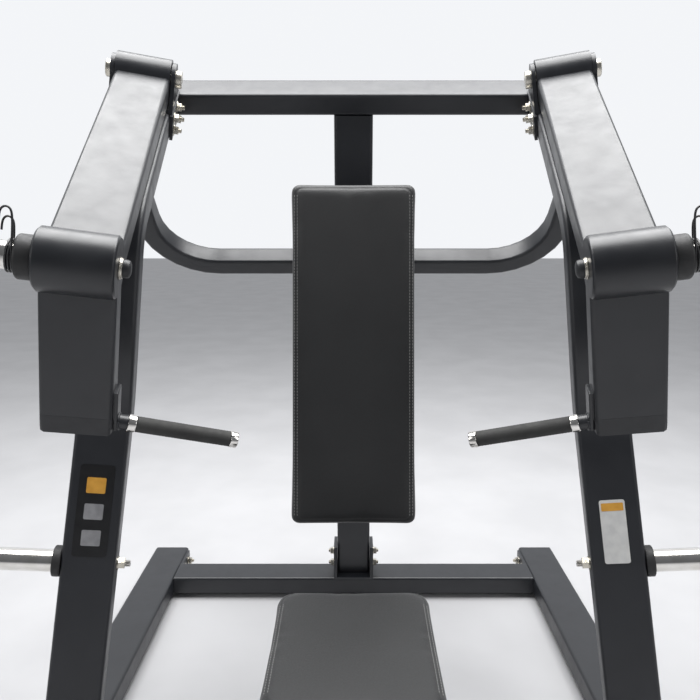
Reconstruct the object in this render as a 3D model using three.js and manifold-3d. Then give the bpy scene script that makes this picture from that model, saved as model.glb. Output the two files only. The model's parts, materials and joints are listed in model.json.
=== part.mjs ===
// Plate-loaded incline chest press with two independent press arms.
// Millimetres. +X is to the right of someone facing the machine, +Y is to the rear, +Z is up.
// The origin is on the floor under the middle of the machine.

import * as THREE from 'three';
import { mergeVertices } from 'three/addons/utils/BufferGeometryUtils.js';
import Module from 'manifold-3d';

const wasm = await Module();
wasm.setup();

const DEGREE = Math.PI / 180;
const X_AXIS = new THREE.Vector3(1, 0, 0);
const Y_AXIS = new THREE.Vector3(0, 1, 0);
const Z_AXIS = new THREE.Vector3(0, 0, 1);

// Clearance between pieces that touch, and the wall and outside corner of every box tube.
const GAP = 0.3;
const WALL = 3;
const CORNER = 9;

// Base: two rails along Y, joined by a front and a rear cross member.
const HALF_LENGTH = 720;
const FOOT = { radius: 42, height: 15, inset: 75 };
const RAIL = { x: 672, width: 120, height: 60, frontY: -377 };
const RAIL_TOP = FOOT.height + RAIL.height;
const RAIL_INNER = RAIL.x - RAIL.width / 2;
const REAR_MEMBER = { y: 553, depth: 105, flange: 8, flangeReach: 150, flangeHeight: 54, drain: 15 };
const FRONT_MEMBER = { y: -192, depth: 100 };
const SEAT_RAIL = { width: 80, footWidth: 96, footLength: 70, endCap: 6 };

// Each side of the machine is built in its own leaning frame, centred on the elbow of the press arm:
// x runs out along the plate horn, y to the rear and z up. The left side is its mirror image.
const SIDE = { x: 481, y: -414, z: 1197, lean: 7.9 * DEGREE, spread: 10.2 * DEGREE };

// Upright and upper beam are one bent tube. The corners are those of its top and front face, as (y, z).
const BEAM_SLOPE = 33.6 * DEGREE;
const BEAM_START = [148, 46];
const UPRIGHT = { width: 120, depth: 70, x: -14, kneeAlong: 68.4, kneeRadius: 130, kinkRadius: 300 };
const BEAM_LENGTH = 789;
const KINK = [314, -361];
const FOOT_OF_UPRIGHT = [157.5, -1131];

// Press arm: an upper and a lower box tube welded to the elbow drum, with a hub at the pivot.
const ARM = { width: 134, slope: 34.7 * DEGREE, above: 17, below: 44, pivotAlong: 780 };
const FOREARM = { slope: 15 * DEGREE, front: 22, rear: 38, length: 312, capLength: 29 };
const ELBOW = { radius: 58, inner: -67, outer: 70, plate: 6, round: 5 };
const HUB = { radius: 45, bore: 20 };
const AXLE = { radius: 15, headRadius: 22, headLength: 14 };
const BEARING = { radius: 27.5, width: 14 };
const BRACKET = { cheek: 10, clearance: 2, base: 8, halfLength: 78, topRadius: 38, past: 300 };
const REST = { along: 230, length: 56, width: 90, height: 5.4 };

// Handle: its axis runs from the root to the tip in the side frame.
const HANDLE = {
  root: new THREE.Vector3(-92, 92, -312),
  tip: new THREE.Vector3(-311, 132, -344),
  barRadius: 12.5,
  gripRadius: 16.2,
  collarRadius: 17.5,
  collarLength: 16,
  stubRadius: 15,
  plateThickness: 8,
  plateHalfWidth: 20,
  plateFrom: 250,
  plateTo: 334,
  padTo: 308.8,
  padThickness: 3,
};

// Plate horns and their fittings, with distances along the horn from the elbow centre.
const HORN = { radius: 25, end: 411, stud: 10, studEnd: -82, socket: 20, socketDepth: 6, capLip: 4 };
const HORN_BUMPER = { radius: 40, length: 32, chamfer: 7 };
const HORN_NUT = { washerRadius: 20, washer: 3, nutRadius: 17, height: 20 };
const STORAGE = { z: -713, length: 220, stud: 8, studLength: 30, bumperRadius: 35, bumperLength: 20 };
const STORAGE_NUT = { washerRadius: 16, washer: 3, nutRadius: 13.5, height: 17 };
const CLIP = { wire: 2, coil: 28.5, pitch: 5, turns: 2.5, sides: 5, steps: 78 };

// Spring clip legs, as distance out from the coil's end and height, hook first on the front leg.
const CLIP_FRONT_LEG = [[22, 58], [22, 72], [18, 81], [11, 84], [4, 80], [1, 68], [0, 40], [0, 18]];
const CLIP_REAR_LEG = [[0, 18], [0, 38], [1, 54], [4, 62], [11, 66], [18, 62], [21, 52], [21, 40]];

// Cross tube that carries the back pad, bent into a U in a plane leaning forward.
const U_BAR = {
  size: 50, frontY: 123, frontZ: 1165, halfWidth: 470, radius: 125, rise: 270, lean: 45 * DEGREE,
};

// Upper cross beam and rear post.
const UPPER_BEAM = { along: 728, below: 35, depth: 100, height: 60, flange: 8, flangeStart: 545, drain: 15 };
const POST = { width: 108, depth: 60 };
const POST_BRACKET = { width: 132, base: 8, cheek: 10.5, height: 112, bottomLength: 126, topLength: 84 };

// Back pad, leaning back, measured in a frame on the lower edge of its front face.
const BACK = {
  y: -112, z: 558, lean: 11.05 * DEGREE, width: 300, length: 815, depth: 68, round: 12, corner: 16,
};
const BACK_BOARD = { inset: 15, depth: 15 };
const SPINE = { width: 80, depth: 30, bottom: 80, top: 750 };
const STRUT = { size: 60, z: 700 };

// Seat on a telescopic post, held by a pull pin.
const SEAT = { y: -397, width: 340, length: 400, depth: 60, corner: 45, round: 12, travel: 120 };
const SEAT_BOARD = { inset: 15, depth: 15 };
const SLEEVE = { size: 70, top: 290, bossRadius: 13, bossLength: 20 };
const SEAT_POST = { size: 60, bottom: 100, top: 360, plate: 8, plateWidth: 180 };
const SEAT_SLOT = { halfWidth: 12, top: 285 };
const PIN = { z: 240, radius: 6, reach: 6, knobRadius: 17, knobLength: 30 };

const UP = new THREE.Vector2(Math.cos(BEAM_SLOPE), Math.sin(BEAM_SLOPE));

// ---------------------------------------------------------------- solids

function toSolid(geometry) {
  const bare = geometry.clone();
  bare.deleteAttribute('normal');
  bare.deleteAttribute('uv');
  const merged = mergeVertices(bare, 1e-4);
  return new wasm.Manifold(new wasm.Mesh({
    numProp: 3,
    vertProperties: Float32Array.from(merged.attributes.position.array),
    triVerts: Uint32Array.from(merged.index.array),
  }));
}

function toGeometry(solid) {
  const mesh = solid.getMesh();
  const geometry = new THREE.BufferGeometry();
  geometry.setAttribute('position', new THREE.BufferAttribute(mesh.vertProperties, 3));
  geometry.setIndex(new THREE.BufferAttribute(mesh.triVerts, 1));
  return geometry;
}

function union(...solids) {
  return solids.reduce((whole, solid) => whole.add(solid));
}

function cut(solid, ...tools) {
  return tools.reduce((rest, tool) => rest.subtract(tool), solid);
}

/** Extrudes a (y, z) outline along x, centred on x = 0, with its long edges rounded. */
function extrudeAcross(outline, width, round = 0) {
  const shape = new THREE.Shape(outline.map(([y, z]) => new THREE.Vector2(y, z)));
  const geometry = new THREE.ExtrudeGeometry(shape, {
    depth: width - 2 * round,
    bevelEnabled: round > 0,
    bevelThickness: round,
    bevelSize: round,
    bevelOffset: -round,
    bevelSegments: 2,
  });
  geometry.translate(0, 0, round - width / 2);
  return geometry.applyMatrix4(new THREE.Matrix4().makeBasis(Y_AXIS, Z_AXIS, X_AXIS));
}

function across(outline, width, x = 0, round = 0) {
  return toSolid(extrudeAcross(outline, width, round).translate(x, 0, 0));
}

/** Samples a polyline with rounded corners. Each sample has a point and the normal on its left. */
function roundedRoute(corners, radii, extension) {
  const points = corners.map(([y, z]) => new THREE.Vector2(y, z));
  const directions = points.slice(1).map((point, i) => point.clone().sub(points[i]).normalize());
  const leftOf = (direction) => new THREE.Vector2(-direction.y, direction.x);
  const samples = [];
  const first = points[0].clone().addScaledVector(directions[0], -extension);
  samples.push({ point: first, normal: leftOf(directions[0]) });
  for (let i = 1; i < points.length - 1; i += 1) {
    const before = directions[i - 1];
    const after = directions[i];
    const turn = Math.atan2(before.cross(after), before.dot(after));
    const radius = radii[i - 1];
    const start = points[i].clone().addScaledVector(before, -radius * Math.tan(Math.abs(turn) / 2));
    const centre = start.clone().addScaledVector(leftOf(before), Math.sign(turn) * radius);
    const steps = Math.max(3, Math.round(Math.abs(turn) / (12 * DEGREE)));
    for (let k = 0; k <= steps; k += 1) {
      const angle = (turn * k) / steps;
      const point = start.clone().rotateAround(centre, angle);
      samples.push({ point, normal: leftOf(before).rotateAround(new THREE.Vector2(), angle) });
    }
  }
  const last = directions.length - 1;
  const end = points[points.length - 1].clone().addScaledVector(directions[last], extension);
  samples.push({ point: end, normal: leftOf(directions[last]) });
  return samples;
}

/** Outline of a strip that follows a rounded route, between two distances to its left. */
function strip(corners, radii, near, far, extension = 0) {
  const samples = roundedRoute(corners, radii, extension);
  const side = (distance) => samples.map(({ point, normal }) => {
    const shifted = point.clone().addScaledVector(normal, distance);
    return [shifted.x, shifted.y];
  });
  const low = Math.min(near, far);
  const high = Math.max(near, far);
  return [...side(low), ...side(high).reverse()];
}

/** Everything past a point in the side plane, seen along a direction. */
function beyond([y, z], direction, size = 400) {
  const ahead = direction.clone().multiplyScalar(size);
  const aside = new THREE.Vector2(-direction.y, direction.x).multiplyScalar(size);
  return across([
    [y - aside.x, z - aside.y],
    [y + ahead.x - aside.x, z + ahead.y - aside.y],
    [y + ahead.x + aside.x, z + ahead.y + aside.y],
    [y + aside.x, z + aside.y],
  ], 2 * size);
}

/** A point given along the beam's top face and above it, as (y, z). */
function onBeam(along, above) {
  return [
    BEAM_START[0] + along * UP.x - above * UP.y,
    BEAM_START[1] + along * UP.y + above * UP.x,
  ];
}

/** A solid of revolution about x, from (radius, x) points that start and end on the axis or close. */
function turned(profile, segments = 20) {
  const points = profile.map(([radius, x]) => new THREE.Vector2(radius, x));
  const geometry = new THREE.LatheGeometry(points, segments);
  const turn = new THREE.Matrix4().makeBasis(Y_AXIS, X_AXIS, Z_AXIS.clone().negate());
  return toSolid(geometry.applyMatrix4(turn));
}

function rod(radius, from, to, segments = 20) {
  return turned([[0, from], [radius, from], [radius, to], [0, to]], segments);
}

function ring(inside, outside, from, to, segments = 20) {
  return turned([[inside, from], [outside, from], [outside, to], [inside, to], [inside, from]], segments);
}

function box(lowest, highest) {
  const size = highest.map((value, i) => value - lowest[i]);
  const geometry = new THREE.BoxGeometry(...size);
  return toSolid(geometry.translate(...lowest.map((value, i) => value + size[i] / 2)));
}

function placed(solid, matrix) {
  return toSolid(toGeometry(solid).applyMatrix4(matrix));
}

function moved(solid, x, y, z) {
  return placed(solid, new THREE.Matrix4().makeTranslation(x, y, z));
}

function roundedRectangle(width, height, radius, path = new THREE.Shape()) {
  const right = width / 2 - radius;
  const top = height / 2 - radius;
  path.absarc(right, -top, radius, -Math.PI / 2, 0);
  path.absarc(right, top, radius, 0, Math.PI / 2);
  path.absarc(-right, top, radius, Math.PI / 2, Math.PI);
  path.absarc(-right, -top, radius, Math.PI, 1.5 * Math.PI);
  path.closePath();
  return path;
}

/** A box tube along x, open at both ends; its width lies along y and its height along z. */
function boxTube(width, height, from, to) {
  const shape = roundedRectangle(width, height, CORNER);
  shape.holes.push(roundedRectangle(width - 2 * WALL, height - 2 * WALL, CORNER - WALL, new THREE.Path()));
  return barAlongX(shape, from, to);
}

function solidBar(width, height, from, to, radius = CORNER) {
  return barAlongX(roundedRectangle(width, height, radius), from, to);
}

function barAlongX(shape, from, to) {
  const settings = { depth: to - from, bevelEnabled: false, curveSegments: 2 };
  const geometry = new THREE.ExtrudeGeometry(shape, settings);
  geometry.translate(0, 0, from);
  return toSolid(geometry.applyMatrix4(new THREE.Matrix4().makeBasis(Y_AXIS, Z_AXIS, X_AXIS)));
}

const X_TO_Y = new THREE.Matrix4().makeBasis(Y_AXIS, X_AXIS.clone().negate(), Z_AXIS);
const X_TO_Z = new THREE.Matrix4().makeBasis(Z_AXIS, Y_AXIS, X_AXIS.clone().negate());

// ---------------------------------------------------------------- side frames

function sideMatrix(sign) {
  const turn = new THREE.Euler(0, -sign * SIDE.lean, -sign * SIDE.spread, 'ZYX');
  const place = new THREE.Vector3(sign * SIDE.x, SIDE.y, SIDE.z);
  const rotation = new THREE.Quaternion().setFromEuler(turn);
  return new THREE.Matrix4().compose(place, rotation, new THREE.Vector3(1, 1, 1));
}

const RIGHT = sideMatrix(1);
const RIGHT_INVERSE = RIGHT.clone().invert();

/** A solid of the right side frame, set on both sides of the machine. */
function onBothSides(solid) {
  const right = placed(solid, RIGHT);
  return [right, toSolid(mirrored(toGeometry(right)))];
}

function mirrored(geometry) {
  const copy = geometry.clone().scale(-1, 1, 1);
  const index = copy.index.array;
  for (let i = 0; i < index.length; i += 3) {
    [index[i], index[i + 1]] = [index[i + 1], index[i]];
  }
  return copy;
}

// ---------------------------------------------------------------- upright and pivot

const UPRIGHT_FACE = [onBeam(BEAM_LENGTH, 0), onBeam(UPRIGHT.kneeAlong, 0), KINK, FOOT_OF_UPRIGHT];
const UPRIGHT_RADII = [UPRIGHT.kneeRadius, UPRIGHT.kinkRadius];

function storageCentre() {
  const share = (STORAGE.z - KINK[1]) / (FOOT_OF_UPRIGHT[1] - KINK[1]);
  return KINK[0] + share * (FOOT_OF_UPRIGHT[0] - KINK[0]) + UPRIGHT.depth / 2;
}

function makeUpright() {
  const outline = strip(UPRIGHT_FACE, UPRIGHT_RADII, 0, UPRIGHT.depth, 60);
  const inside = strip(UPRIGHT_FACE, UPRIGHT_RADII, WALL, UPRIGHT.depth - WALL, 120);
  const floor = placed(box([0, -800, -500], [1500, 800, RAIL_TOP + GAP]), RIGHT_INVERSE);
  const stud = moved(rod(STORAGE.stud + GAP, -200, 200, 16), 0, storageCentre(), STORAGE.z);
  return cut(
    across(outline, UPRIGHT.width, UPRIGHT.x, CORNER),
    across(inside, UPRIGHT.width - 2 * WALL, UPRIGHT.x),
    beyond(onBeam(BEAM_LENGTH, 0), UP),
    floor,
    stud,
  );
}

const PIVOT = [ARM.pivotAlong * Math.cos(ARM.slope), ARM.pivotAlong * Math.sin(ARM.slope)];

function pivotOnBeam() {
  const fromStart = new THREE.Vector2(PIVOT[0] - BEAM_START[0], PIVOT[1] - BEAM_START[1]);
  return { along: fromStart.dot(UP), above: UP.cross(fromStart) };
}

function atPivot(solid) {
  return moved(solid, 0, PIVOT[0], PIVOT[1]);
}

function makePivotBracket() {
  const { along, above } = pivotOnBeam();
  const inside = ARM.width / 2 + BRACKET.clearance;
  const span = 2 * (inside + BRACKET.cheek);
  const arc = [];
  for (let k = 0; k <= 12; k += 1) {
    const angle = (Math.PI * k) / 12;
    const up = above + BRACKET.topRadius * Math.sin(angle);
    arc.push(onBeam(along + BRACKET.topRadius * Math.cos(angle), up));
  }
  const outline = [
    onBeam(along - BRACKET.halfLength, GAP),
    onBeam(along + BRACKET.halfLength, GAP),
    ...arc,
  ];
  const window = [
    onBeam(along - BRACKET.past, GAP + BRACKET.base),
    onBeam(along + BRACKET.past, GAP + BRACKET.base),
    onBeam(along + BRACKET.past, BRACKET.past),
    onBeam(along - BRACKET.past, BRACKET.past),
  ];
  return cut(
    across(outline, span),
    across(window, 2 * inside),
    atPivot(rod(AXLE.radius + GAP, -200, 200)),
  );
}

function makePivotAxle() {
  const shoulder = ARM.width / 2 + BRACKET.clearance + BRACKET.cheek + GAP;
  const end = shoulder + AXLE.headLength;
  return atPivot(turned([
    [0, -end], [AXLE.headRadius - 2, -end], [AXLE.headRadius, 2 - end], [AXLE.headRadius, -shoulder],
    [AXLE.radius, -shoulder], [AXLE.radius, shoulder],
    [AXLE.headRadius, shoulder], [AXLE.headRadius, end - 2], [AXLE.headRadius - 2, end], [0, end],
  ]));
}

function makeBearing(outward) {
  const face = ARM.width / 2 - GAP;
  const [from, to] = outward > 0 ? [face - BEARING.width, face] : [-face, BEARING.width - face];
  return atPivot(ring(AXLE.radius + GAP, BEARING.radius, from, to));
}

function makeRestBumper() {
  const start = REST.along - REST.length / 2;
  return across([
    onBeam(start, GAP),
    onBeam(start + REST.length, GAP),
    onBeam(start + REST.length, GAP + REST.height),
    onBeam(start, GAP + REST.height),
  ], REST.width, UPRIGHT.x);
}

// ---------------------------------------------------------------- press arm

const FOREARM_DOWN = new THREE.Vector2(Math.sin(FOREARM.slope), -Math.cos(FOREARM.slope));

/** A strip of the forearm between two distances below the elbow, thinned all round by an inset. */
function forearmBlock(from, to, inset, round) {
  const ends = [from, to].map((along) => [FOREARM_DOWN.x * along, FOREARM_DOWN.y * along]);
  const outline = strip(ends, [], inset - FOREARM.front, FOREARM.rear - inset);
  return across(outline, ARM.width - 2 * inset, 0, round);
}

function upperArmBlock(length, inset, round) {
  const ends = [[0, 0], [Math.cos(ARM.slope) * length, Math.sin(ARM.slope) * length]];
  const outline = strip(ends, [], inset - ARM.below, ARM.above - inset);
  return across(outline, ARM.width - 2 * inset, 0, round);
}

function elbowDrum() {
  const { radius, inner, outer, round } = ELBOW;
  return turned([
    [0, inner], [radius - round, inner], [radius, inner + round],
    [radius, outer - round], [radius - round, outer], [0, outer],
  ], 40);
}

/** The short stub and the plate that weld the handle to the inner side of the forearm. */
function handleSeat() {
  const axis = HANDLE.tip.clone().sub(HANDLE.root).normalize();
  const back = (HANDLE.root.x + ARM.width / 2 - 2) / axis.x;
  const stub = alongHandle(rod(HANDLE.stubRadius, -back, -GAP));
  const middle = (FOREARM.rear - FOREARM.front) / 2;
  const onForearm = (along) => [
    FOREARM_DOWN.x * along - FOREARM_DOWN.y * middle,
    FOREARM_DOWN.y * along + FOREARM_DOWN.x * middle,
  ];
  const face = ARM.width / 2;
  const thickness = HANDLE.plateThickness;
  const plateLine = [onForearm(HANDLE.plateFrom), onForearm(HANDLE.plateTo)];
  const plateShape = strip(plateLine, [], -HANDLE.plateHalfWidth, HANDLE.plateHalfWidth);
  const plate = across(plateShape, thickness, -face - thickness / 2 - GAP, 2);
  const padLine = [onForearm(HANDLE.plateFrom), onForearm(HANDLE.padTo)];
  const padShape = strip(padLine, [], -HANDLE.plateHalfWidth, HANDLE.plateHalfWidth);
  const pad = across(padShape, HANDLE.padThickness, -face);
  return union(stub, plate, pad);
}

/** Lays a solid made along x onto the handle's axis, starting at its root. */
function alongHandle(solid) {
  const axis = HANDLE.tip.clone().sub(HANDLE.root).normalize();
  const turn = new THREE.Quaternion().setFromUnitVectors(X_AXIS, axis);
  return placed(solid, new THREE.Matrix4().compose(HANDLE.root, turn, new THREE.Vector3(1, 1, 1)));
}

function makePressArm() {
  const half = ARM.width / 2;
  const seatDepth = BEARING.width + 2 * GAP;
  const bottom = FOREARM.length - CORNER;
  const outside = union(
    upperArmBlock(ARM.pivotAlong, 0, CORNER),
    forearmBlock(-20, FOREARM.length, 0, CORNER),
    elbowDrum(),
    atPivot(rod(HUB.radius, -half, half, 28)),
  );
  const drumInside = rod(ELBOW.radius - ELBOW.plate, ELBOW.inner + ELBOW.plate, ELBOW.outer - ELBOW.plate);
  return union(
    cut(
      outside,
      beyond([FOREARM_DOWN.x * bottom, FOREARM_DOWN.y * bottom], FOREARM_DOWN),
      upperArmBlock(ARM.pivotAlong - HUB.radius, WALL, 0),
      forearmBlock(0, FOREARM.length + 40, WALL, 0),
      drumInside,
      rod(HORN.stud + GAP, -200, 200),
      atPivot(rod(HUB.bore, -200, 200)),
      atPivot(rod(BEARING.radius + GAP, half - seatDepth, half + 20)),
      atPivot(rod(BEARING.radius + GAP, -half - 20, seatDepth - half)),
    ),
    cut(handleSeat(), forearmCapEnvelope()),
  );
}

const CAP_START = FOREARM.length - CORNER + GAP;

function forearmCapEnvelope() {
  return forearmBlock(CAP_START - GAP, FOREARM.length + 80, -GAP, 0);
}

function makeArmEndCap() {
  const bottom = FOREARM.length + FOREARM.capLength;
  const shell = cut(
    forearmBlock(CAP_START - 2 * CORNER, bottom, 0, CORNER),
    beyond([FOREARM_DOWN.x * CAP_START, FOREARM_DOWN.y * CAP_START], FOREARM_DOWN.clone().negate()),
  );
  return union(shell, forearmBlock(CAP_START - 14, CAP_START + 8, WALL + 2 * GAP, 0));
}

function makeHandleBar() {
  const length = HANDLE.tip.distanceTo(HANDLE.root);
  return alongHandle(turned([
    [0, 0], [HANDLE.collarRadius - 1.5, 0], [HANDLE.collarRadius, 1.5],
    [HANDLE.collarRadius, HANDLE.collarLength - 1.5], [HANDLE.collarRadius - 1.5, HANDLE.collarLength],
    [HANDLE.barRadius, HANDLE.collarLength], [HANDLE.barRadius, length - 6], [0, length - 6],
  ]));
}

function makeHandleGrip() {
  const length = HANDLE.tip.distanceTo(HANDLE.root);
  const from = HANDLE.collarLength + GAP;
  const to = length - HANDLE.collarLength - GAP;
  return alongHandle(ring(HANDLE.barRadius + GAP, HANDLE.gripRadius, from, to));
}

function makeHandleCap() {
  const length = HANDLE.tip.distanceTo(HANDLE.root);
  const from = length - HANDLE.collarLength;
  return alongHandle(turned([
    [HANDLE.barRadius + GAP, from], [HANDLE.collarRadius - 1.5, from], [HANDLE.collarRadius, from + 1.5],
    [HANDLE.collarRadius, length - 1.5], [HANDLE.collarRadius - 1.5, length], [0, length],
    [0, length - 5], [HANDLE.barRadius + GAP, length - 5], [HANDLE.barRadius + GAP, from],
  ]));
}

// ---------------------------------------------------------------- horns

function makePlateHorn() {
  const start = ELBOW.outer + GAP;
  return turned([
    [0, HORN.studEnd], [HORN.stud, HORN.studEnd], [HORN.stud, start], [HORN.radius, start],
    [HORN.radius, HORN.end - 1.5], [HORN.radius - 1.5, HORN.end], [HORN.socket, HORN.end],
    [HORN.socket, HORN.end - HORN.socketDepth], [0, HORN.end - HORN.socketDepth],
  ]);
}

function makeHornBumper() {
  const from = ELBOW.outer + GAP;
  const to = ELBOW.outer + HORN_BUMPER.length;
  const inside = HORN.radius + GAP;
  return turned([
    [inside, from], [HORN_BUMPER.radius, from], [HORN_BUMPER.radius, to - HORN_BUMPER.chamfer],
    [HORN_BUMPER.radius - 2, to - HORN_BUMPER.chamfer * 0.4],
    [HORN_BUMPER.radius - HORN_BUMPER.chamfer, to], [inside, to], [inside, from],
  ]);
}

function makeHornCap() {
  const seat = HORN.end + GAP;
  return turned([
    [0, HORN.end - HORN.socketDepth + GAP], [HORN.socket - GAP, HORN.end - HORN.socketDepth + GAP],
    [HORN.socket - GAP, seat], [HORN.radius - 1, seat], [HORN.radius - 1, seat + HORN.capLip * 0.5],
    [HORN.radius - 4, seat + HORN.capLip], [0, seat + HORN.capLip],
  ]);
}

/** A washer and a domed nut on a stud, running inward from a face. */
function makeNut(size, stud, studEnd, face) {
  const start = face - GAP;
  const shoulder = start - size.washer;
  const end = start - size.height;
  const tip = studEnd - GAP;
  return turned([
    [stud + GAP, start], [size.washerRadius, start],
    [size.washerRadius, shoulder], [size.nutRadius, shoulder],
    [size.nutRadius, end + 4], [size.nutRadius * 0.7, end], [0, end], [0, tip], [stud + GAP, tip],
    [stud + GAP, start],
  ].reverse());
}

function makeSpringClip() {
  const start = ELBOW.outer + HORN_BUMPER.length + CLIP.wire + 2 * GAP;
  const finish = start + CLIP.pitch * CLIP.turns;
  const points = CLIP_FRONT_LEG.map(([out, up]) => [start + out, -CLIP.coil, up]);
  const coilSteps = 12 * CLIP.turns;
  for (let k = 0; k <= coilSteps; k += 1) {
    const share = k / coilSteps;
    const angle = Math.PI + 2 * Math.PI * CLIP.turns * share;
    const x = start + (finish - start) * share;
    points.push([x, CLIP.coil * Math.cos(angle), CLIP.coil * Math.sin(angle)]);
  }
  points.push(...CLIP_REAR_LEG.map(([out, up]) => [finish + out, CLIP.coil, up]));
  const route = new THREE.CatmullRomCurve3(points.map((point) => new THREE.Vector3(...point)));
  const corners = [];
  for (let k = 0; k < CLIP.sides; k += 1) {
    const angle = (2 * Math.PI * k) / CLIP.sides;
    corners.push(new THREE.Vector2(CLIP.wire * Math.cos(angle), CLIP.wire * Math.sin(angle)));
  }
  const section = new THREE.Shape(corners);
  return toSolid(new THREE.ExtrudeGeometry(section, { steps: CLIP.steps, extrudePath: route }));
}

const STORAGE_FACE = UPRIGHT.x + UPRIGHT.width / 2;
const STORAGE_BACK = UPRIGHT.x - UPRIGHT.width / 2;

function atStorage(solid) {
  return moved(solid, 0, storageCentre(), STORAGE.z);
}

function makeStorageHorn() {
  const start = STORAGE_FACE + GAP;
  const end = STORAGE_FACE + STORAGE.length;
  const studEnd = STORAGE_BACK - STORAGE.studLength;
  return atStorage(turned([
    [0, studEnd], [STORAGE.stud - 1, studEnd], [STORAGE.stud, studEnd + 1], [STORAGE.stud, start],
    [HORN.radius, start], [HORN.radius, end - 4], [HORN.radius - 4, end], [0, end],
  ]));
}

function makeStorageBumper() {
  const from = STORAGE_FACE + GAP;
  return atStorage(ring(HORN.radius + GAP, STORAGE.bumperRadius, from, STORAGE_FACE + STORAGE.bumperLength));
}

function makeStorageNut() {
  const start = STORAGE_BACK - GAP;
  const washer = ring(STORAGE.stud + GAP, STORAGE_NUT.washerRadius, start - STORAGE_NUT.washer, start);
  const nut = rod(STORAGE_NUT.nutRadius, start - STORAGE_NUT.height, start - 1, 6);
  return atStorage(cut(union(washer, nut), rod(STORAGE.stud + GAP, start - 100, start + 1)));
}

// ---------------------------------------------------------------- base

function makeBaseRail() {
  const rail = placed(boxTube(RAIL.width, RAIL.height, RAIL.frontY, HALF_LENGTH), X_TO_Y);
  return moved(rail, RAIL.x, 0, FOOT.height + RAIL.height / 2);
}

function makeFoot(y) {
  const top = FOOT.height - GAP;
  const profile = [[0, 0], [FOOT.radius, 0], [FOOT.radius, top * 0.4], [FOOT.radius * 0.8, top], [0, top]];
  return moved(placed(turned(profile), X_TO_Z), RAIL.x, y, 0);
}

function makeRearCrossMember() {
  const { y, depth, flange, flangeReach, flangeHeight, drain } = REAR_MEMBER;
  const face = RAIL_INNER - GAP;
  const middle = FOOT.height + RAIL.height / 2;
  const tube = moved(boxTube(depth, RAIL.height, 1 - face, face - 1), 0, y, middle);
  const plates = [1, -1].map((sign) => box(
    [Math.min(sign * face, sign * (face - flange)), y - depth / 2, middle - flangeHeight / 2],
    [Math.max(sign * face, sign * (face - flange)), y + flangeReach, middle + flangeHeight / 2],
  ));
  return cut(union(tube, ...plates), moved(rod(drain, -RAIL.x, RAIL.x, 16), 0, y, middle));
}

function makeFrontCrossMember() {
  const end = RAIL_INNER - GAP;
  const tube = boxTube(FRONT_MEMBER.depth, RAIL.height, -end, end);
  return moved(tube, 0, FRONT_MEMBER.y, FOOT.height + RAIL.height / 2);
}

function makeSeatRail() {
  const front = -HALF_LENGTH + SEAT_RAIL.endCap + GAP;
  const rear = FRONT_MEMBER.y - FRONT_MEMBER.depth / 2 - GAP;
  const rail = placed(boxTube(SEAT_RAIL.width, RAIL.height, front, rear), X_TO_Y);
  return moved(rail, 0, 0, FOOT.height + RAIL.height / 2);
}

function makeSeatRailFoot() {
  const half = SEAT_RAIL.footWidth / 2;
  const base = box([-half, -HALF_LENGTH, 0], [half, SEAT_RAIL.footLength - HALF_LENGTH, FOOT.height - GAP]);
  const endBar = solidBar(SEAT_RAIL.width, RAIL.height, -HALF_LENGTH, SEAT_RAIL.endCap - HALF_LENGTH);
  const end = placed(endBar, X_TO_Y);
  return union(base, moved(end, 0, 0, FOOT.height + RAIL.height / 2 - 0.5));
}

// ---------------------------------------------------------------- upper cross beam, post and U bar

const BEAM_CENTRE = new THREE.Vector3(
  STORAGE_BACK,
  ...onBeam(UPPER_BEAM.along, -UPPER_BEAM.below),
).applyMatrix4(RIGHT);

/** Turns a bar along x so that its width follows the slope of the beams, at the upper cross beam. */
function onUpperBeam(solid) {
  const slope = new THREE.Matrix4().makeRotationX(BEAM_SLOPE);
  return placed(solid, slope.setPosition(0, BEAM_CENTRE.y, BEAM_CENTRE.z));
}

function makeUpperCrossBeam() {
  const { flange, flangeStart, depth, height, drain } = UPPER_BEAM;
  const plateCorners = [
    onBeam(flangeStart, -2), onBeam(BEAM_LENGTH - 4, -2),
    onBeam(BEAM_LENGTH - 4, 2 - UPRIGHT.depth), onBeam(flangeStart, 2 - UPRIGHT.depth),
  ];
  const plates = onBothSides(across(plateCorners.reverse(), flange, STORAGE_BACK - GAP - flange / 2));
  const past = [onBeam(0, 400), onBeam(0, -400), onBeam(1200, -400), onBeam(1200, 400)];
  const outside = onBothSides(across(past, 800, STORAGE_BACK - GAP - flange / 2 + 400));
  const tube = cut(onUpperBeam(boxTube(depth, height, -600, 600)), ...outside);
  return cut(union(tube, ...plates), onUpperBeam(rod(drain, -600, 600, 16)));
}

const POST_FOOT = [REAR_MEMBER.y, RAIL_TOP];
const POST_LEAN = Math.atan2(REAR_MEMBER.y - BEAM_CENTRE.y, BEAM_CENTRE.z - RAIL_TOP);
const POST_ROUTE = [POST_FOOT, [BEAM_CENTRE.y, BEAM_CENTRE.z]];

function postBlock(inset, round) {
  const half = POST.depth / 2 - inset;
  const outline = strip(POST_ROUTE, [], -half, half, 60);
  return across(outline, POST.width - 2 * inset, 0, round);
}

function makeRearPost() {
  const bottom = RAIL_TOP + POST_BRACKET.base + 2 * GAP;
  const underBeam = onUpperBeam(box([-300, -300, -UPPER_BEAM.height / 2 - GAP], [300, 300, 300]));
  return cut(
    postBlock(0, CORNER),
    postBlock(WALL, 0),
    box([-300, 0, -200], [300, 1000, bottom]),
    underBeam,
  );
}

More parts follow.
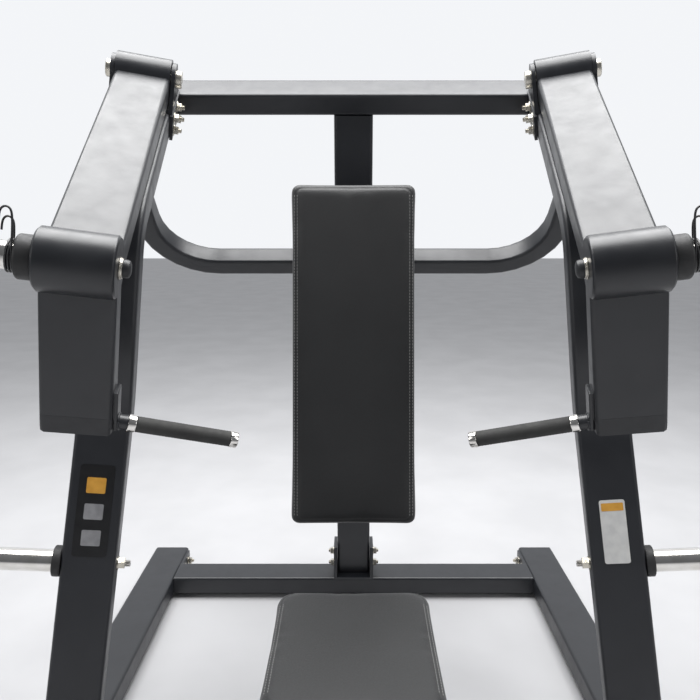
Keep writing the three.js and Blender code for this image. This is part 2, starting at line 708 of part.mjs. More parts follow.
function makeRearPostBracket() {
  const base = RAIL_TOP + GAP;
  const top = base + POST_BRACKET.height;
  const shift = POST_BRACKET.height * Math.tan(POST_LEAN);
  const y = REAR_MEMBER.y;
  const outline = [
    [y - POST_BRACKET.bottomLength / 2, base],
    [y + POST_BRACKET.bottomLength / 2, base],
    [y + POST_BRACKET.bottomLength / 2, base + POST_BRACKET.base],
    [y + POST_BRACKET.topLength / 2 - shift, top],
    [y - POST_BRACKET.topLength / 2 - shift, top],
    [y - POST_BRACKET.bottomLength / 2, base + POST_BRACKET.base],
  ];
  const half = POST_BRACKET.width / 2 - POST_BRACKET.cheek;
  const inside = box([-half, y - 200, base + POST_BRACKET.base], [half, y + 200, top + 50]);
  return cut(across(outline, POST_BRACKET.width), inside);
}

function uBarBlock(inset, extension, round) {
  const corners = [
    [-U_BAR.halfWidth, U_BAR.rise], [-U_BAR.halfWidth, 0],
    [U_BAR.halfWidth, 0], [U_BAR.halfWidth, U_BAR.rise],
  ];
  const outline = strip(corners, [U_BAR.radius, U_BAR.radius], inset - U_BAR.size, -inset, extension);
  const slab = extrudeAcross(outline, U_BAR.size - 2 * inset, round);
  const up = new THREE.Vector3(0, -Math.sin(U_BAR.lean), Math.cos(U_BAR.lean));
  const front = new THREE.Vector3().crossVectors(X_AXIS, up);
  const plane = new THREE.Matrix4().makeBasis(front, X_AXIS, up);
  const place = new THREE.Vector3(0, U_BAR.frontY, U_BAR.frontZ).addScaledVector(front, -U_BAR.size / 2);
  return toSolid(slab.applyMatrix4(plane.setPosition(place)));
}

function makeUBar() {
  const under = UPRIGHT.depth + GAP;
  const above = [onBeam(60, -under), onBeam(600, -under), onBeam(600, 300), onBeam(60, 300)];
  return cut(uBarBlock(0, 0, CORNER - 2), uBarBlock(WALL, 60, 0), ...onBothSides(across(above, 320)));
}

// ---------------------------------------------------------------- back pad

const BACK_MATRIX = new THREE.Matrix4().makeRotationX(-BACK.lean).setPosition(0, BACK.y, BACK.z);
const BACK_BOARD_Y = BACK.depth + GAP;
const SPINE_Y = BACK_BOARD_Y + BACK_BOARD.depth + GAP;

/** A cushion standing on z = 0 with its front face on y = 0, rounded all round. */
function cushion(width, length, depth, corner, round) {
  const geometry = new THREE.ExtrudeGeometry(roundedRectangle(width, length, corner), {
    depth: depth - 2 * round,
    bevelThickness: round,
    bevelSize: round,
    bevelOffset: -round,
    bevelSegments: 2,
    curveSegments: 2,
  });
  geometry.translate(0, length / 2, round - depth);
  const turn = new THREE.Matrix4().makeBasis(X_AXIS, Z_AXIS, Y_AXIS.clone().negate());
  return toSolid(geometry.applyMatrix4(turn));
}

function makeBackBoard() {
  const width = BACK.width - 2 * BACK_BOARD.inset;
  const length = BACK.length - 2 * BACK_BOARD.inset;
  return moved(cushion(width, length, BACK_BOARD.depth, BACK.corner, 2), 0, BACK_BOARD_Y, BACK_BOARD.inset);
}

function makePadSpine() {
  const toPost = POST_FOOT[0] - (STRUT.z + STRUT.size / 2 - RAIL_TOP) * Math.tan(POST_LEAN);
  const spine = (inset, past) => placed(
    box(
      [inset - SPINE.width / 2, SPINE_Y + inset, SPINE.bottom - past],
      [SPINE.width / 2 - inset, SPINE_Y + SPINE.depth - inset, SPINE.top + past],
    ),
    BACK_MATRIX,
  );
  const strutTop = STRUT.z + STRUT.size;
  const fromSpine = BACK.y + SPINE_Y + SPINE.depth / 2 + (strutTop - BACK.z) * Math.tan(BACK.lean);
  const strut = (inset) => box(
    [inset - STRUT.size / 2, fromSpine, STRUT.z + inset],
    [STRUT.size / 2 - inset, toPost, strutTop - inset],
  );
  const outside = union(spine(0, 0), strut(0));
  return cut(outside, union(spine(WALL, 20), strut(WALL)), postBlock(-GAP, 0));
}

// ---------------------------------------------------------------- seat

function atSeat(solid) {
  return moved(solid, 0, SEAT.y, 0);
}

function makeSeatSleeve() {
  const tube = placed(boxTube(SLEEVE.size, SLEEVE.size, RAIL_TOP + GAP, SLEEVE.top), X_TO_Z);
  const toFront = new THREE.Matrix4().makeRotationZ(-Math.PI / 2).setPosition(0, 0, PIN.z);
  const half = SLEEVE.size / 2;
  const boss = placed(rod(SLEEVE.bossRadius, half - 1, half + SLEEVE.bossLength), toFront);
  const bore = placed(rod(PIN.radius + GAP, half - 10, half + 50), toFront);
  return atSeat(cut(union(tube, boss), bore));
}

function makeSeatPost() {
  const tube = placed(boxTube(SEAT_POST.size, SEAT_POST.size, SEAT_POST.bottom, SEAT_POST.top), X_TO_Z);
  const half = SEAT_POST.plateWidth / 2;
  const plate = box([-half, -half, SEAT_POST.top - 1], [half, half, SEAT_POST.top + SEAT_POST.plate]);
  const slot = box(
    [-SEAT_SLOT.halfWidth, -SEAT_POST.size, SEAT_POST.bottom - 1],
    [SEAT_SLOT.halfWidth, -SEAT_POST.size / 4, SEAT_SLOT.top],
  );
  return atSeat(cut(union(tube, plate), slot));
}

const SEAT_BOARD_Z = SEAT_POST.top + SEAT_POST.plate + GAP;

/** Lays a cushion down so that its rear face becomes its underside. */
function laidFlat(solid, z, length) {
  const flat = placed(solid, new THREE.Matrix4().makeRotationX(-Math.PI / 2));
  return moved(flat, 0, SEAT.y - length / 2, z);
}

function makeSeatBoard() {
  const length = SEAT.length - 2 * SEAT_BOARD.inset;
  const board = cushion(SEAT.width - 2 * SEAT_BOARD.inset, length, SEAT_BOARD.depth, SEAT.corner, 2);
  return laidFlat(board, SEAT_BOARD_Z + SEAT_BOARD.depth, length);
}

function makeSeatPad() {
  const pad = cushion(SEAT.width, SEAT.length, SEAT.depth, SEAT.corner, SEAT.round);
  return laidFlat(pad, SEAT_BOARD_Z + SEAT_BOARD.depth + GAP + SEAT.depth, SEAT.length);
}

function makePopPin() {
  const tip = SEAT_POST.size / 2 - PIN.reach;
  const knob = SLEEVE.size / 2 + SLEEVE.bossLength + 2;
  const pin = turned([
    [0, tip], [PIN.radius - 1.5, tip], [PIN.radius, tip + 1.5], [PIN.radius, knob],
    [PIN.knobRadius * 0.6, knob], [PIN.knobRadius, knob + 6], [PIN.knobRadius, knob + PIN.knobLength - 5],
    [PIN.knobRadius * 0.7, knob + PIN.knobLength], [0, knob + PIN.knobLength],
  ], 20);
  const toFront = new THREE.Matrix4().makeRotationZ(-Math.PI / 2).setPosition(0, 0, PIN.z);
  return atSeat(placed(pin, toFront));
}

// ---------------------------------------------------------------- assembly

const FINISHES = {
  paint: { color: 0x24272c, roughness: 0.42, metalness: 0.35 },
  chrome: { color: 0xd8d8d6, roughness: 0.08, metalness: 1 },
  zinc: { color: 0xb9b6ad, roughness: 0.3, metalness: 0.9 },
  rubber: { color: 0x17181a, roughness: 0.75, metalness: 0 },
  grip: { color: 0x3b3c3d, roughness: 0.85, metalness: 0 },
  plastic: { color: 0x1b1c1f, roughness: 0.5, metalness: 0 },
  wire: { color: 0x202124, roughness: 0.35, metalness: 0.4 },
  leather: { color: 0x2b2d30, roughness: 0.6, metalness: 0 },
  board: { color: 0x18191b, roughness: 0.7, metalness: 0 },
};

function named(name, finish, geometry) {
  const mesh = new THREE.Mesh(geometry, new THREE.MeshStandardMaterial(FINISHES[finish]));
  mesh.name = name;
  return mesh;
}

const machine = new THREE.Group();

const leaningParts = [
  ['upright', 'paint', makeUpright()],
  ['pivot_bracket', 'paint', makePivotBracket()],
  ['pivot_axle', 'zinc', makePivotAxle()],
  ['bearing_inner', 'zinc', makeBearing(-1)],
  ['bearing_outer', 'zinc', makeBearing(1)],
  ['press_arm', 'paint', makePressArm()],
  ['arm_end_cap', 'plastic', makeArmEndCap()],
  ['plate_horn', 'chrome', makePlateHorn()],
  ['horn_bumper', 'rubber', makeHornBumper()],
  ['horn_cap', 'plastic', makeHornCap()],
  ['horn_nut', 'zinc', makeNut(HORN_NUT, HORN.stud, HORN.studEnd, ELBOW.inner)],
  ['spring_clip', 'wire', makeSpringClip()],
  ['handle_bar', 'chrome', makeHandleBar()],
  ['handle_grip', 'grip', makeHandleGrip()],
  ['handle_cap', 'chrome', makeHandleCap()],
  ['rest_bumper', 'rubber', makeRestBumper()],
  ['storage_horn', 'chrome', makeStorageHorn()],
  ['storage_bumper', 'rubber', makeStorageBumper()],
  ['storage_nut', 'zinc', makeStorageNut()],
];

const standingParts = [
  ['base_rail', 'paint', makeBaseRail()],
  ['foot_front', 'rubber', makeFoot(RAIL.frontY + FOOT.inset)],
  ['foot_rear', 'rubber', makeFoot(HALF_LENGTH - FOOT.inset)],
];

for (const [side, sign] of [['right', 1], ['left', -1]]) {
  const shaped = (solid) => (sign > 0 ? toGeometry(solid) : mirrored(toGeometry(solid)));
  const leaning = new THREE.Group();
  leaning.position.set(sign * SIDE.x, SIDE.y, SIDE.z);
  leaning.rotation.set(0, -sign * SIDE.lean, -sign * SIDE.spread, 'ZYX');
  for (const [name, finish, solid] of leaningParts) {
    leaning.add(named(`${name}_${side}`, finish, shaped(solid)));
  }
  machine.add(leaning);
  for (const [name, finish, solid] of standingParts) {
    machine.add(named(`${name}_${side}`, finish, shaped(solid)));
  }
}

const centreParts = [
  ['u_bar', 'paint', makeUBar()],
  ['upper_cross_beam', 'paint', makeUpperCrossBeam()],
  ['rear_post', 'paint', makeRearPost()],
  ['rear_post_bracket', 'paint', makeRearPostBracket()],
  ['rear_cross_member', 'paint', makeRearCrossMember()],
  ['front_cross_member', 'paint', makeFrontCrossMember()],
  ['seat_rail', 'paint', makeSeatRail()],
  ['seat_rail_foot', 'rubber', makeSeatRailFoot()],
  ['pad_spine', 'paint', makePadSpine()],
  ['seat_post_sleeve', 'paint', makeSeatSleeve()],
  ['seat_post', 'zinc', makeSeatPost()],
  ['seat_board', 'board', makeSeatBoard()],
  ['seat_pad', 'leather', makeSeatPad()],
  ['pop_pin', 'plastic', makePopPin()],
];

for (const [name, finish, solid] of centreParts) {
  machine.add(named(name, finish, toGeometry(solid)));
}

const back = new THREE.Group();
back.position.set(0, BACK.y, BACK.z);
back.rotation.x = -BACK.lean;
const backCushion = cushion(BACK.width, BACK.length, BACK.depth, BACK.corner, BACK.round);
back.add(named('back_pad', 'leather', toGeometry(backCushion)));
back.add(named('back_board', 'board', toGeometry(makeBackBoard())));
machine.add(back);

export default machine;
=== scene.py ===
"""Looks for the plate-loaded incline chest press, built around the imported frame. Metres."""
import json
import math
import random

import bmesh
import bpy
from mathutils import Matrix, Vector
from mathutils.bvhtree import BVHTree

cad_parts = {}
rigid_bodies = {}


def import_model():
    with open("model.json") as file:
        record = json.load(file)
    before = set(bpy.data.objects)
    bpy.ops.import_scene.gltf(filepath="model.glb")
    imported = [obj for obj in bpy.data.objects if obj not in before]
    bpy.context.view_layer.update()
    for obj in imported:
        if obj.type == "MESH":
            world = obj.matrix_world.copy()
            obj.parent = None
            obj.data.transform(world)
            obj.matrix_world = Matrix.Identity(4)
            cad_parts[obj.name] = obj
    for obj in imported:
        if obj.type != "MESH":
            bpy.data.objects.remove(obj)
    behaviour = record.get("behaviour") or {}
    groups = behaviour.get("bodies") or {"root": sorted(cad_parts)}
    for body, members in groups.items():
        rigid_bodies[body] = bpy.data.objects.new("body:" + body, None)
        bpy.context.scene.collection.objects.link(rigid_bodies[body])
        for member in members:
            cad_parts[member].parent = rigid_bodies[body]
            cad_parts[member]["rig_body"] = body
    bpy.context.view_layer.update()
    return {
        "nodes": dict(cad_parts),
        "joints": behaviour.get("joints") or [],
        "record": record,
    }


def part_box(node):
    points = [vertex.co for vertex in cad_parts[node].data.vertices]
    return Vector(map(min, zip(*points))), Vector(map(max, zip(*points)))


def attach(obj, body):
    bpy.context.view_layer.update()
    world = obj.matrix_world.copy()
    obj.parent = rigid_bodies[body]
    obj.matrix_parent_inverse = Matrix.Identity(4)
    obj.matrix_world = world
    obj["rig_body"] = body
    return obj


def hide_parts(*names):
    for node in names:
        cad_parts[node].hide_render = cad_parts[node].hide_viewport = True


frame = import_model()
random.seed(7)

SIDES = {"left": -1, "right": 1}
JOINTS = {joint["name"]: joint for joint in frame["joints"]}

# Sizes that the frame doesn't state as a node's box, as in the CAD model.
ARM_LENGTH = 0.780
ARM_SLOPE = math.radians(34.7)
BEAM_SLOPE = math.radians(33.6)
BEAM_START = (0.148, 0.046)
BEAM_FACE = -0.074
BEAM_DEPTH = 0.070
BEAM_LENGTH = 0.789
UPRIGHT_WIDTH = 0.120
HANDLE_PLATE_FACE = 0.0756
UPRIGHT_KINK = (0.314, -0.361)
UPRIGHT_FOOT = (0.1575, -1.131)
UPRIGHT_CENTRE = -0.014
BACK_LEAN = math.radians(11.05)
BACK_ORIGIN = Vector((0, -0.112, 0.558))
BACK_SIZE = (0.300, 0.068, 0.815)

# Hardware and trim.
FIT_GAP = 0.0003
FLANGE_DEPTH = 0.0083
FLANGE_BOLT_ROWS = (-0.018, -0.052)
FLANGE_BOLT_COLUMNS = (0.572, 0.637)
FLANGE_STUD = 0.008
CLIP_WIRE_RADIUS = 0.00195
PANEL_LIFT, PANEL_THICKNESS = 0.0004, 0.0008
BLOCK_LIFT, BLOCK_THICKNESS = 0.0013, 0.0004

# Pads and their stitching.
PAD_EDGE = 0.014
PAD_SHRINK = 0.004
PAD_VOXEL = 0.0055
PAD_PRESSURE = 4.0
CLOTH_FRAMES = 20
SEAM_INSET = 0.026
SEAM_DEPTH, SEAM_REACH = 0.0014, 0.0022
STITCH_INSETS = (0.0095, 0.0165)
STITCH_LENGTH = 0.0052
STITCH_PITCH = 0.0075
STITCH_RADIUS = 0.00062


# ---------------------------------------------------------------- meshes

def new_object(name, mesh, material, body):
    piece = bpy.data.objects.new(name, mesh)
    bpy.context.scene.collection.objects.link(piece)
    piece.data.materials.clear()
    piece.data.materials.append(material)
    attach(piece, body)
    return piece


def mesh_from(name, bm, sharp=50):
    """Writes a bmesh to a mesh, smooth, with edges over an angle kept sharp."""
    bmesh.ops.recalc_face_normals(bm, faces=bm.faces)
    for face in bm.faces:
        face.smooth = True
    for edge in bm.edges:
        edge.smooth = not (len(edge.link_faces) == 2 and edge.calc_face_angle(0) > math.radians(sharp))
    mesh = bpy.data.meshes.new(name)
    bm.to_mesh(mesh)
    bm.free()
    return mesh


def weigh_normals(piece):
    weights = piece.modifiers.new("weights", "WEIGHTED_NORMAL")
    weights.keep_sharp = True


def refine(node, material, sharp=50):
    """A smooth-shaded skin with the CAD node's own shape."""
    source = frame["nodes"][node]
    bm = bmesh.new()
    vertices = [bm.verts.new(vertex.co) for vertex in source.data.vertices]
    for polygon in source.data.polygons:
        bm.faces.new([vertices[i] for i in polygon.vertices])
    bmesh.ops.remove_doubles(bm, verts=bm.verts, dist=0.00001)
    bmesh.ops.dissolve_limit(
        bm, angle_limit=math.radians(0.5), verts=bm.verts, edges=bm.edges, delimit={"NORMAL"})
    piece = new_object(node + "_skin", mesh_from(node, bm, sharp), material, source["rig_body"])
    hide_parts(node)
    weigh_normals(piece)


def softened(profile, radius, steps=4):
    """A (radius, x) profile with its corners rounded."""
    result = [profile[0]]
    for before, corner, after in zip(profile, profile[1:], profile[2:]):
        a, b, c = (Vector(point) for point in (before, corner, after))
        reach = min(radius, (a - b).length * 0.45, (c - b).length * 0.45)
        start = b + (a - b).normalized() * reach
        end = b + (c - b).normalized() * reach
        for k in range(steps + 1):
            t = k / steps
            result.append(tuple(start * (1 - t) ** 2 + b * (2 * t * (1 - t)) + end * t ** 2))
    result.append(profile[-1])
    return result


def lathe(bm, profile, matrix, segments=72, closed=False):
    """Turns a (radius, x) profile about local x."""
    rings = []
    for radius, x in profile:
        if radius < 1e-6:
            rings.append([bm.verts.new(matrix @ Vector((x, 0, 0)))])
            continue
        rings.append([
            bm.verts.new(matrix @ Vector((x, radius * math.cos(turn), radius * math.sin(turn))))
            for turn in (2 * math.pi * k / segments for k in range(segments))
        ])
    pairs = list(zip(rings, rings[1:]))
    if closed:
        pairs.append((rings[-1], rings[0]))
    for low, high in pairs:
        for k in range(segments):
            after = (k + 1) % segments
            corners = [low[k % len(low)], low[after % len(low)], high[after % len(high)], high[k % len(high)]]
            unique = list(dict.fromkeys(corners))
            if len(unique) > 2:
                bm.faces.new(unique)


def axis_matrix(origin, axis):
    """A frame at a point with its local x along an axis."""
    x = axis.normalized()
    helper = Vector((0, 0, 1)) if abs(x.z) < 0.9 else Vector((0, 1, 0))
    y = helper.cross(x).normalized()
    z = x.cross(y)
    return Matrix((
        (x.x, y.x, z.x, origin.x), (x.y, y.y, z.y, origin.y), (x.z, y.z, z.z, origin.z), (0, 0, 0, 1)))


def join_loops(bm, low, high):
    """A band of faces between two loops of as many points."""
    for k in range(len(low)):
        after = (k + 1) % len(low)
        bm.faces.new((low[k], low[after], high[after], high[k]))


def middle_of(node):
    """The mean of a node's points."""
    vertices = frame["nodes"][node].data.vertices
    return sum((vertex.co for vertex in vertices), Vector()) / len(vertices)


def span(node, origin, axis):
    """Lowest and highest distance of a node along an axis, and its largest radius about it."""
    points = [vertex.co - origin for vertex in frame["nodes"][node].data.vertices]
    along = [point.dot(axis) for point in points]
    radius = max((point - axis * distance).length for point, distance in zip(points, along))
    return min(along), max(along), radius


# ---------------------------------------------------------------- side frames

class Side:
    """The leaning frame of one side: out along the plate horn, back to the rear, up along the plane."""

    def __init__(self, name):
        self.name = name
        self.sign = SIDES[name]
        self.out = Vector(JOINTS[f"spring_clip_{name}_slide"]["axis"]).normalized()
        level = Vector((self.out.x, self.out.y, 0)).normalized()
        self.back = Vector((0, 0, self.sign)).cross(level)
        self.up = self.out.cross(self.back) * self.sign
        pivot = Vector(JOINTS[f"press_arm_{name}_lift"]["pos_m"])
        reach = self.back * math.cos(ARM_SLOPE) + self.up * math.sin(ARM_SLOPE)
        self.elbow = pivot - reach * ARM_LENGTH

    def at(self, out, back, up):
        return self.elbow + self.out * out + self.back * back + self.up * up

    def on_beam(self, out, along, above):
        back = BEAM_START[0] + along * math.cos(BEAM_SLOPE) - above * math.sin(BEAM_SLOPE)
        up = BEAM_START[1] + along * math.sin(BEAM_SLOPE) + above * math.cos(BEAM_SLOPE)
        return self.at(out, back, up)


# ---------------------------------------------------------------- materials

def nodes_of(name):
    material = bpy.data.materials.new(name)
    material.use_nodes = True
    tree = material.node_tree
    shader = tree.nodes["Principled BSDF"]
    return material, tree, shader


def add(tree, kind, **inputs):
    node = tree.nodes.new(kind)
    for key, value in inputs.items():
        node.inputs[key.replace("_", " ")].default_value = value
    return node


def object_coordinates(tree):
    return add(tree, "ShaderNodeTexCoord").outputs["Object"]


def noise(tree, scale, detail=2.0, roughness=0.5):
    node = add(tree, "ShaderNodeTexNoise", Scale=scale, Detail=detail, Roughness=roughness)
    tree.links.new(object_coordinates(tree), node.inputs["Vector"])
    return node.outputs["Fac"]


def ramp(tree, source, stops):
    node = tree.nodes.new("ShaderNodeValToRGB")
    elements = node.color_ramp.elements
    while len(elements) < len(stops):
        elements.new(0.5)
    for element, (place, value) in zip(elements, stops):
        element.position = place
        element.color = value if isinstance(value, tuple) else (value, value, value, 1)
    tree.links.new(source, node.inputs["Fac"])
    return node.outputs["Color"]


def bump(tree, shader, height, strength, distance):
    node = add(tree, "ShaderNodeBump", Strength=strength, Distance=distance)
    tree.links.new(height, node.inputs["Height"])
    previous = shader.inputs["Normal"].links
    if previous:
        tree.links.new(previous[0].from_socket, node.inputs["Normal"])
    tree.links.new(node.outputs["Normal"], shader.inputs["Normal"])


def colour_between(tree, shader, fac, low, high):
    colour = ramp(tree, fac, [(0.35, low + (1,)), (0.65, high + (1,))])
    tree.links.new(colour, shader.inputs["Base Color"])


def roughness_between(tree, shader, fac, low, high):
    tree.links.new(ramp(tree, fac, [(0.3, low), (0.7, high)]), shader.inputs["Roughness"])


def powder_coat(name, low, high, roughness):
    """Satin powder coat: faint orange peel, fine grain and soft handling marks."""
    material, tree, shader = nodes_of(name)
    colour_between(tree, shader, noise(tree, 9, 3), low, high)
    roughness_between(tree, shader, noise(tree, 22, 5, 0.6), roughness - 0.05, roughness + 0.06)
    bump(tree, shader, noise(tree, 420, 2), 0.10, 0.0004)
    bump(tree, shader, noise(tree, 1800, 1), 0.05, 0.0002)
    shader.inputs["Specular IOR Level"].default_value = 0.62
    shader.inputs["Metallic"].default_value = 0.0
    return material


def plated(name, low, high, roughness, streaks):
    """Bright plating with fine turning lines around it and a faint haze."""
    material, tree, shader = nodes_of(name)
    colour_between(tree, shader, noise(tree, 30, 4), low, high)
    roughness_between(tree, shader, noise(tree, 60, 6, 0.7), roughness, roughness + 0.07)
    bump(tree, shader, noise(tree, streaks, 3), 0.04, 0.0002)
    shader.inputs["Metallic"].default_value = 1.0
    return material


def moulded(name, low, high, roughness, grain, depth):
    """Rubber or plastic with a fine moulded grain."""
    material, tree, shader = nodes_of(name)
    colour_between(tree, shader, noise(tree, 14, 4), low, high)
    roughness_between(tree, shader, noise(tree, 90, 4), roughness - 0.06, roughness + 0.08)
    bump(tree, shader, noise(tree, grain, 2), 0.35, depth)
    return material


def leather_material():
    """Pebbled upholstery leather: cells of grain, creases between them and a soft sheen."""
    material, tree, shader = nodes_of("leather")
    vector = object_coordinates(tree)
    cells = add(tree, "ShaderNodeTexVoronoi", Scale=620.0)
    cells.feature = "DISTANCE_TO_EDGE"
    tree.links.new(vector, cells.inputs["Vector"])
    creases = ramp(tree, cells.outputs["Distance"], [(0.0, 0.0), (0.22, 1.0)])
    colour_between(tree, shader, noise(tree, 5, 4), (0.0125, 0.0128, 0.0135), (0.0180, 0.0184, 0.0192))
    roughness_between(tree, shader, noise(tree, 260, 4), 0.46, 0.60)
    bump(tree, shader, creases, 0.32, 0.0004)
    bump(tree, shader, noise(tree, 90, 5, 0.6), 0.16, 0.0008)
    shader.inputs["Sheen Weight"].default_value = 0.12
    shader.inputs["Sheen Roughness"].default_value = 0.5
    shader.inputs["Specular IOR Level"].default_value = 0.45
    return material


def plywood_material():
    """Black stained plywood with long grain."""
    material, tree, shader = nodes_of("stained_plywood")
    mapping = add(tree, "ShaderNodeMapping", Scale=(60.0, 60.0, 4.0))
    tree.links.new(object_coordinates(tree), mapping.inputs["Vector"])
    grain = add(tree, "ShaderNodeTexNoise", Scale=2.0, Detail=6.0)
    tree.links.new(mapping.outputs["Vector"], grain.inputs["Vector"])
    colour_between(tree, shader, grain.outputs["Fac"], (0.016, 0.015, 0.014), (0.045, 0.041, 0.037))
    roughness_between(tree, shader, grain.outputs["Fac"], 0.5, 0.75)
    bump(tree, shader, grain.outputs["Fac"], 0.2, 0.0006)
    return material


def thread_material():
    """Grey waxed thread."""
    material, tree, shader = nodes_of("thread")
    colour_between(tree, shader, noise(tree, 900, 2), (0.24, 0.24, 0.235), (0.36, 0.36, 0.35))
    bump(tree, shader, noise(tree, 3000, 1), 0.3, 0.0002)
    shader.inputs["Roughness"].default_value = 0.6
    return material


def enamel(name, low, high):
    """Printed enamel for the plain panels."""
    material, tree, shader = nodes_of(name)
    colour_between(tree, shader, noise(tree, 40, 3), low, high)
    bump(tree, shader, noise(tree, 900, 2), 0.08, 0.0002)
    shader.inputs["Roughness"].default_value = 0.34
    return material


FRAME_PAINT = powder_coat("frame_paint", (0.0105, 0.0118, 0.0155), (0.0135, 0.0151, 0.0192), 0.40)
ARM_PAINT = powder_coat("arm_paint", (0.0100, 0.0112, 0.0142), (0.0130, 0.0145, 0.0180), 0.37)
CHROME = plated("chrome", (0.74, 0.72, 0.68), (0.84, 0.82, 0.79), 0.09, 700)
ZINC = plated("zinc", (0.52, 0.49, 0.42), (0.70, 0.67, 0.60), 0.24, 900)
BEARING_STEEL = plated("bearing_steel", (0.48, 0.48, 0.49), (0.60, 0.60, 0.61), 0.2, 900)
RUBBER = moulded("black_rubber", (0.0125, 0.0125, 0.013), (0.022, 0.022, 0.023), 0.55, 1500, 0.0003)
GRIP = moulded("grip_rubber", (0.030, 0.030, 0.029), (0.046, 0.046, 0.044), 0.72, 1900, 0.0006)
PLASTIC = moulded("black_plastic", (0.016, 0.017, 0.019), (0.023, 0.024, 0.027), 0.42, 1300, 0.0002)
WIRE = powder_coat("black_wire", (0.012, 0.012, 0.013), (0.020, 0.020, 0.022), 0.34)
LEATHER = leather_material()
PLYWOOD = plywood_material()
THREAD = thread_material()
PANEL_DARK = enamel("panel_dark", (0.006, 0.006, 0.007), (0.010, 0.010, 0.011))
PANEL_LIGHT = enamel("panel_light", (0.62, 0.62, 0.61), (0.72, 0.72, 0.70))
PANEL_AMBER = enamel("panel_amber", (0.62, 0.30, 0.04), (0.74, 0.38, 0.06))
PANEL_GREY = enamel("panel_grey", (0.22, 0.22, 0.23), (0.30, 0.30, 0.31))

FINISHES = {
    "frame_paint": FRAME_PAINT, "arm_paint": ARM_PAINT, "chrome": CHROME, "zinc_steel": ZINC,
    "bearing_steel": BEARING_STEEL, "black_rubber": RUBBER, "grip_rubber": GRIP,
    "black_plastic": PLASTIC, "black_wire": WIRE, "leather": LEATHER, "board": PLYWOOD,
}


# ---------------------------------------------------------------- hardware

def hex_bolt(name, place, axis, body, width=0.019, washer=0.0145, stud=0.0):
    """A washer and a chamfered hex head or nut, standing on a face; a stud may show past it."""
    bm = bmesh.new()
    matrix = axis_matrix(place, axis)
    thick = 0.0024
    lathe(bm, softened([(0, 0), (washer, 0), (washer, thick), (0, thick)], 0.0005), matrix, 36)
    corner = width / math.sqrt(3)
    height = width * 0.55
    chamfer = corner * 0.13
    levels = [(0, thick), (corner, thick), (corner, thick + height - chamfer * 0.6),
              (corner - chamfer, thick + height), (0, thick + height)]
    lathe(bm, levels, matrix, 6)
    if stud:
        top = thick + height
        radius = width * 0.31
        turns = [(radius * (1 if k % 2 else 0.88), top + k * 0.0009) for k in range(int(stud / 0.0009))]
        lathe(bm, [(0, top)] + turns + [(radius * 0.7, top + stud), (0, top + stud)], matrix, 24)
    new_object(name, mesh_from(name, bm, 28), ZINC, body)


def side_bolts(side):
    """Bolts of the beam flange, inboard of the beam."""
    face = BEAM_FACE - FLANGE_DEPTH
    for row, above in enumerate(FLANGE_BOLT_ROWS):
        for column, along in enumerate(FLANGE_BOLT_COLUMNS):
            place = side.on_beam(face, along, above)
            hex_bolt(f"beam_bolt_{side.name}_{row}{column}", place, -side.out, "frame", stud=FLANGE_STUD)


def base_bolts():
    low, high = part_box("rear_cross_member")
    middle = (low.z + high.z) / 2
    for name, sign in SIDES.items():
        inner = Vector((sign * (high.x - 0.008), 0, middle))
        for k, y in enumerate((high.y - 0.025, high.y - 0.075)):
            inner.y = y
            hex_bolt(f"rail_bolt_{name}_{k}", inner, Vector((-sign, 0, 0)), "frame", stud=FLANGE_STUD)
    low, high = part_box("rear_post_bracket")
    for name, sign in SIDES.items():
        for k, z in enumerate((low.z + 0.034, low.z + 0.080)):
            place = Vector((sign * high.x, (low.y + high.y) / 2 - (z - low.z) * 0.12, z))
            hex_bolt(f"post_bolt_{name}_{k}", place, Vector((sign, 0, 0)), "frame", stud=0.006)


def tube_plug(name, centre, axis, across, width, height, body):
    """A plastic plug in an open tube end: a flange inside the wall and a shallow dish."""
    bm = bmesh.new()
    x = axis.normalized()
    y = across.normalized()
    z = x.cross(y)

    def loop(inset, depth, radius):
        points = []
        half_w, half_h = width / 2 - inset, height / 2 - inset
        for cx, cy, start in ((1, 1, 0), (-1, 1, 90), (-1, -1, 180), (1, -1, 270)):
            for k in range(6):
                angle = math.radians(start + 18 * k)
                a = cx * (half_w - radius) + radius * math.cos(angle)
                b = cy * (half_h - radius) + radius * math.sin(angle)
                points.append(bm.verts.new(centre + y * a + z * b + x * depth))
        return points

    loops = [
        loop(0.004, -0.018, 0.005), loop(0.0035, -0.001, 0.0055), loop(0.0042, 0.0, 0.005),
        loop(0.012, 0.0, 0.005), loop(0.015, -0.003, 0.004),
    ]
    for low, high in zip(loops, loops[1:]):
        join_loops(bm, low, high)
    bm.faces.new(loops[-1])
    bm.faces.new(list(reversed(loops[0])))
    piece = new_object(name, mesh_from(name, bm, 40), PLASTIC, body)
    weigh_normals(piece)


def rail_plugs():
    for name in SIDES:
        low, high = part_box(f"base_rail_{name}")
        middle = (low + high) / 2
        width, height = high.x - low.x, high.z - low.z
        for end, y, way in (("front", low.y, -1), ("rear", high.y, 1)):
            axis = Vector((0, way, 0))
            centre = Vector((middle.x, y, middle.z)) - axis * 0.0005
            tube_plug(f"rail_plug_{name}_{end}", centre, axis, Vector((1, 0, 0)), width, height, "frame")


def beam_plugs(side):
    """Plug in the upper end of each upright's sloping beam."""
    centre = side.on_beam(UPRIGHT_CENTRE, BEAM_LENGTH - 0.0005, -BEAM_DEPTH / 2)
    axis = side.on_beam(UPRIGHT_CENTRE, BEAM_LENGTH, 0) - side.on_beam(UPRIGHT_CENTRE, BEAM_LENGTH - 0.1, 0)
    tube_plug(f"beam_plug_{side.name}", centre, axis, side.out, UPRIGHT_WIDTH, BEAM_DEPTH, "frame")


